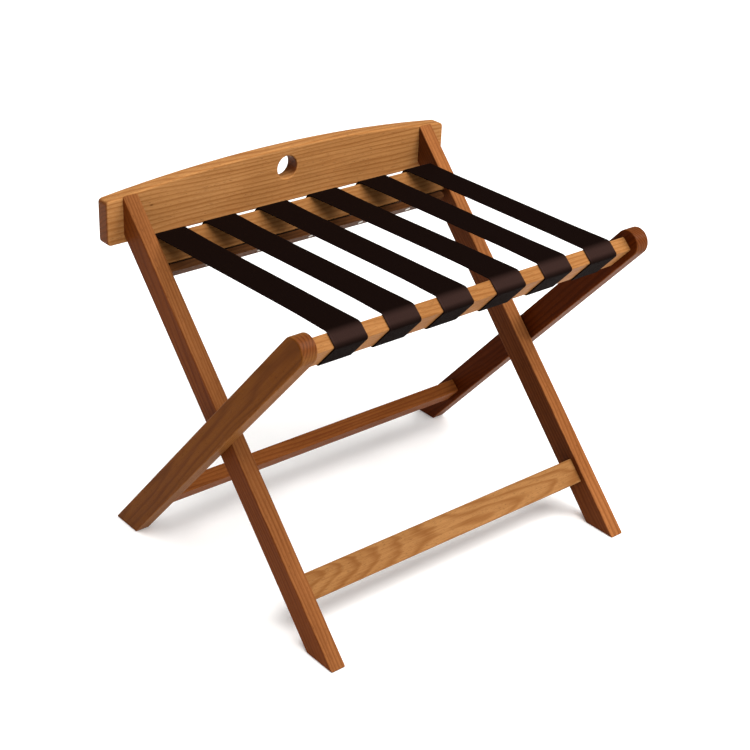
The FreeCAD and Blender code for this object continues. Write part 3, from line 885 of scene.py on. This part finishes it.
# %% The screws of the headboard and the batten
low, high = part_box("headboard_screws")
skin = bmesh.new()
for x in (low.x + HEAD, high.x - HEAD):
    for z in (low.z + HEAD, high.z - HEAD):
        screw(skin, Vector((x, high.y, z)), Vector((0, -1, 0)), size_of("headboard_screws").y)
finished("board_screws", skin, zinc, "inner_frame", "screw_steel", "headboard_screws")

rear_middles = strap_middles("rear")
below = (middle_of("strap_batten") - PIVOT).dot(inner.along) - HALF["strap_batten"][0]
skin = bmesh.new()
for left, right in zip(rear_middles, rear_middles[1:]):
    screw(skin, inner.place((left + right) / 2, below, 0), inner.along, BATTEN_SCREW)
finished("clamp_screws", skin, zinc, "inner_frame", "screw_steel", "batten_screws")
print("screws 4 and 5")

# %% [markdown]
# ## The studio
# A pale floor with nothing on it, one broad soft light from above, a softbox in front, and an even sky to fill.
# The floor is rough and glows a little, so it shows only a faint soft shadow and no reflection.

# %% Floor and lights
FLOOR_REACH = 14.0
FLOOR_GAP = 0.4 * MM         # the floor is this far under the feet
floor_mesh = bpy.data.meshes.new("studio_floor")
skin = bmesh.new()
bmesh.ops.create_grid(skin, x_segments=8, y_segments=8, size=FLOOR_REACH)
skin.to_mesh(floor_mesh)
skin.free()
floor = bpy.data.objects.new("studio_floor", floor_mesh)
floor.location.z = cad_box[0].z - FLOOR_GAP
bpy.context.scene.collection.objects.link(floor)
f = Finish("studio_paper")
paper = f.noise(f.node("TexCoord", {}, {}, output=3), 3.0, detail=2.0)
floor_mesh.materials.append(f.surface({
    "Base Color": f.mix(paper, (0.90, 0.90, 0.90), (0.92, 0.92, 0.92)), "Roughness": 0.9, "Specular IOR Level": 0.1,
    "Emission Color": (1.0, 1.0, 1.0, 1.0), "Emission Strength": 0.16}))


def lamp(name, kind, towards, **settings):
    """A light that shines along towards."""
    data = bpy.data.lights.new(name, kind)
    for key, value in settings.items():
        setattr(data, key, value)
    light = bpy.data.objects.new(name, data)
    light.rotation_mode = "QUATERNION"
    light.rotation_quaternion = Vector(towards).to_track_quat("-Z", "Y")
    bpy.context.scene.collection.objects.link(light)
    return light


lamp("overhead", "SUN", (0.16, 0.40, -1.0), energy=3.6, angle=math.radians(50), color=(1.0, 0.985, 0.96))
centre = (cad_box[0] + cad_box[1]) / 2
softbox_at = centre + Vector((1.25, -1.35, 1.9))
softbox = lamp("softbox", "AREA", centre - softbox_at, energy=66, size=1.6, color=(1.0, 0.985, 0.97))
softbox.location = softbox_at
world = bpy.data.worlds.new("studio")
world.use_nodes = True
sky = world.node_tree.nodes["Background"]
sky.inputs["Color"].default_value = (1, 1, 1, 1)
sky.inputs["Strength"].default_value = 0.22
bpy.context.scene.world = world
bpy.context.scene.view_settings.view_transform = "Standard"

# %% [markdown]
# ## The camera
# It stands in front of the rack and to its left, above it, and looks down on the straps with a long lens.
# A camera's own axes are its right, its up, and the way it faces, reversed.

# %% Camera
CAMERA_AT = Vector((-1.2286, -1.4070, 1.2060))
YAW, PITCH, ROLL = (math.radians(v) for v in (40.912, -27.629, 2.56))
forward = Vector((math.sin(YAW) * math.cos(PITCH), math.cos(YAW) * math.cos(PITCH), math.sin(PITCH)))
right = Vector((math.cos(YAW), -math.sin(YAW), 0))
up = right.cross(forward)
right, up = right * math.cos(ROLL) + up * math.sin(ROLL), up * math.cos(ROLL) - right * math.sin(ROLL)

camera_data = bpy.data.cameras.new("portrait")
camera_data.sensor_width = 36
camera_data.lens = 75.86
camera = bpy.data.objects.new("portrait", camera_data)
turn = Matrix((right, up, -forward)).transposed().to_4x4()
camera.matrix_world = Matrix.Translation(CAMERA_AT) @ turn
bpy.context.scene.collection.objects.link(camera)
bpy.context.scene.camera = camera
print("camera", tuple(round(v, 3) for v in CAMERA_AT))
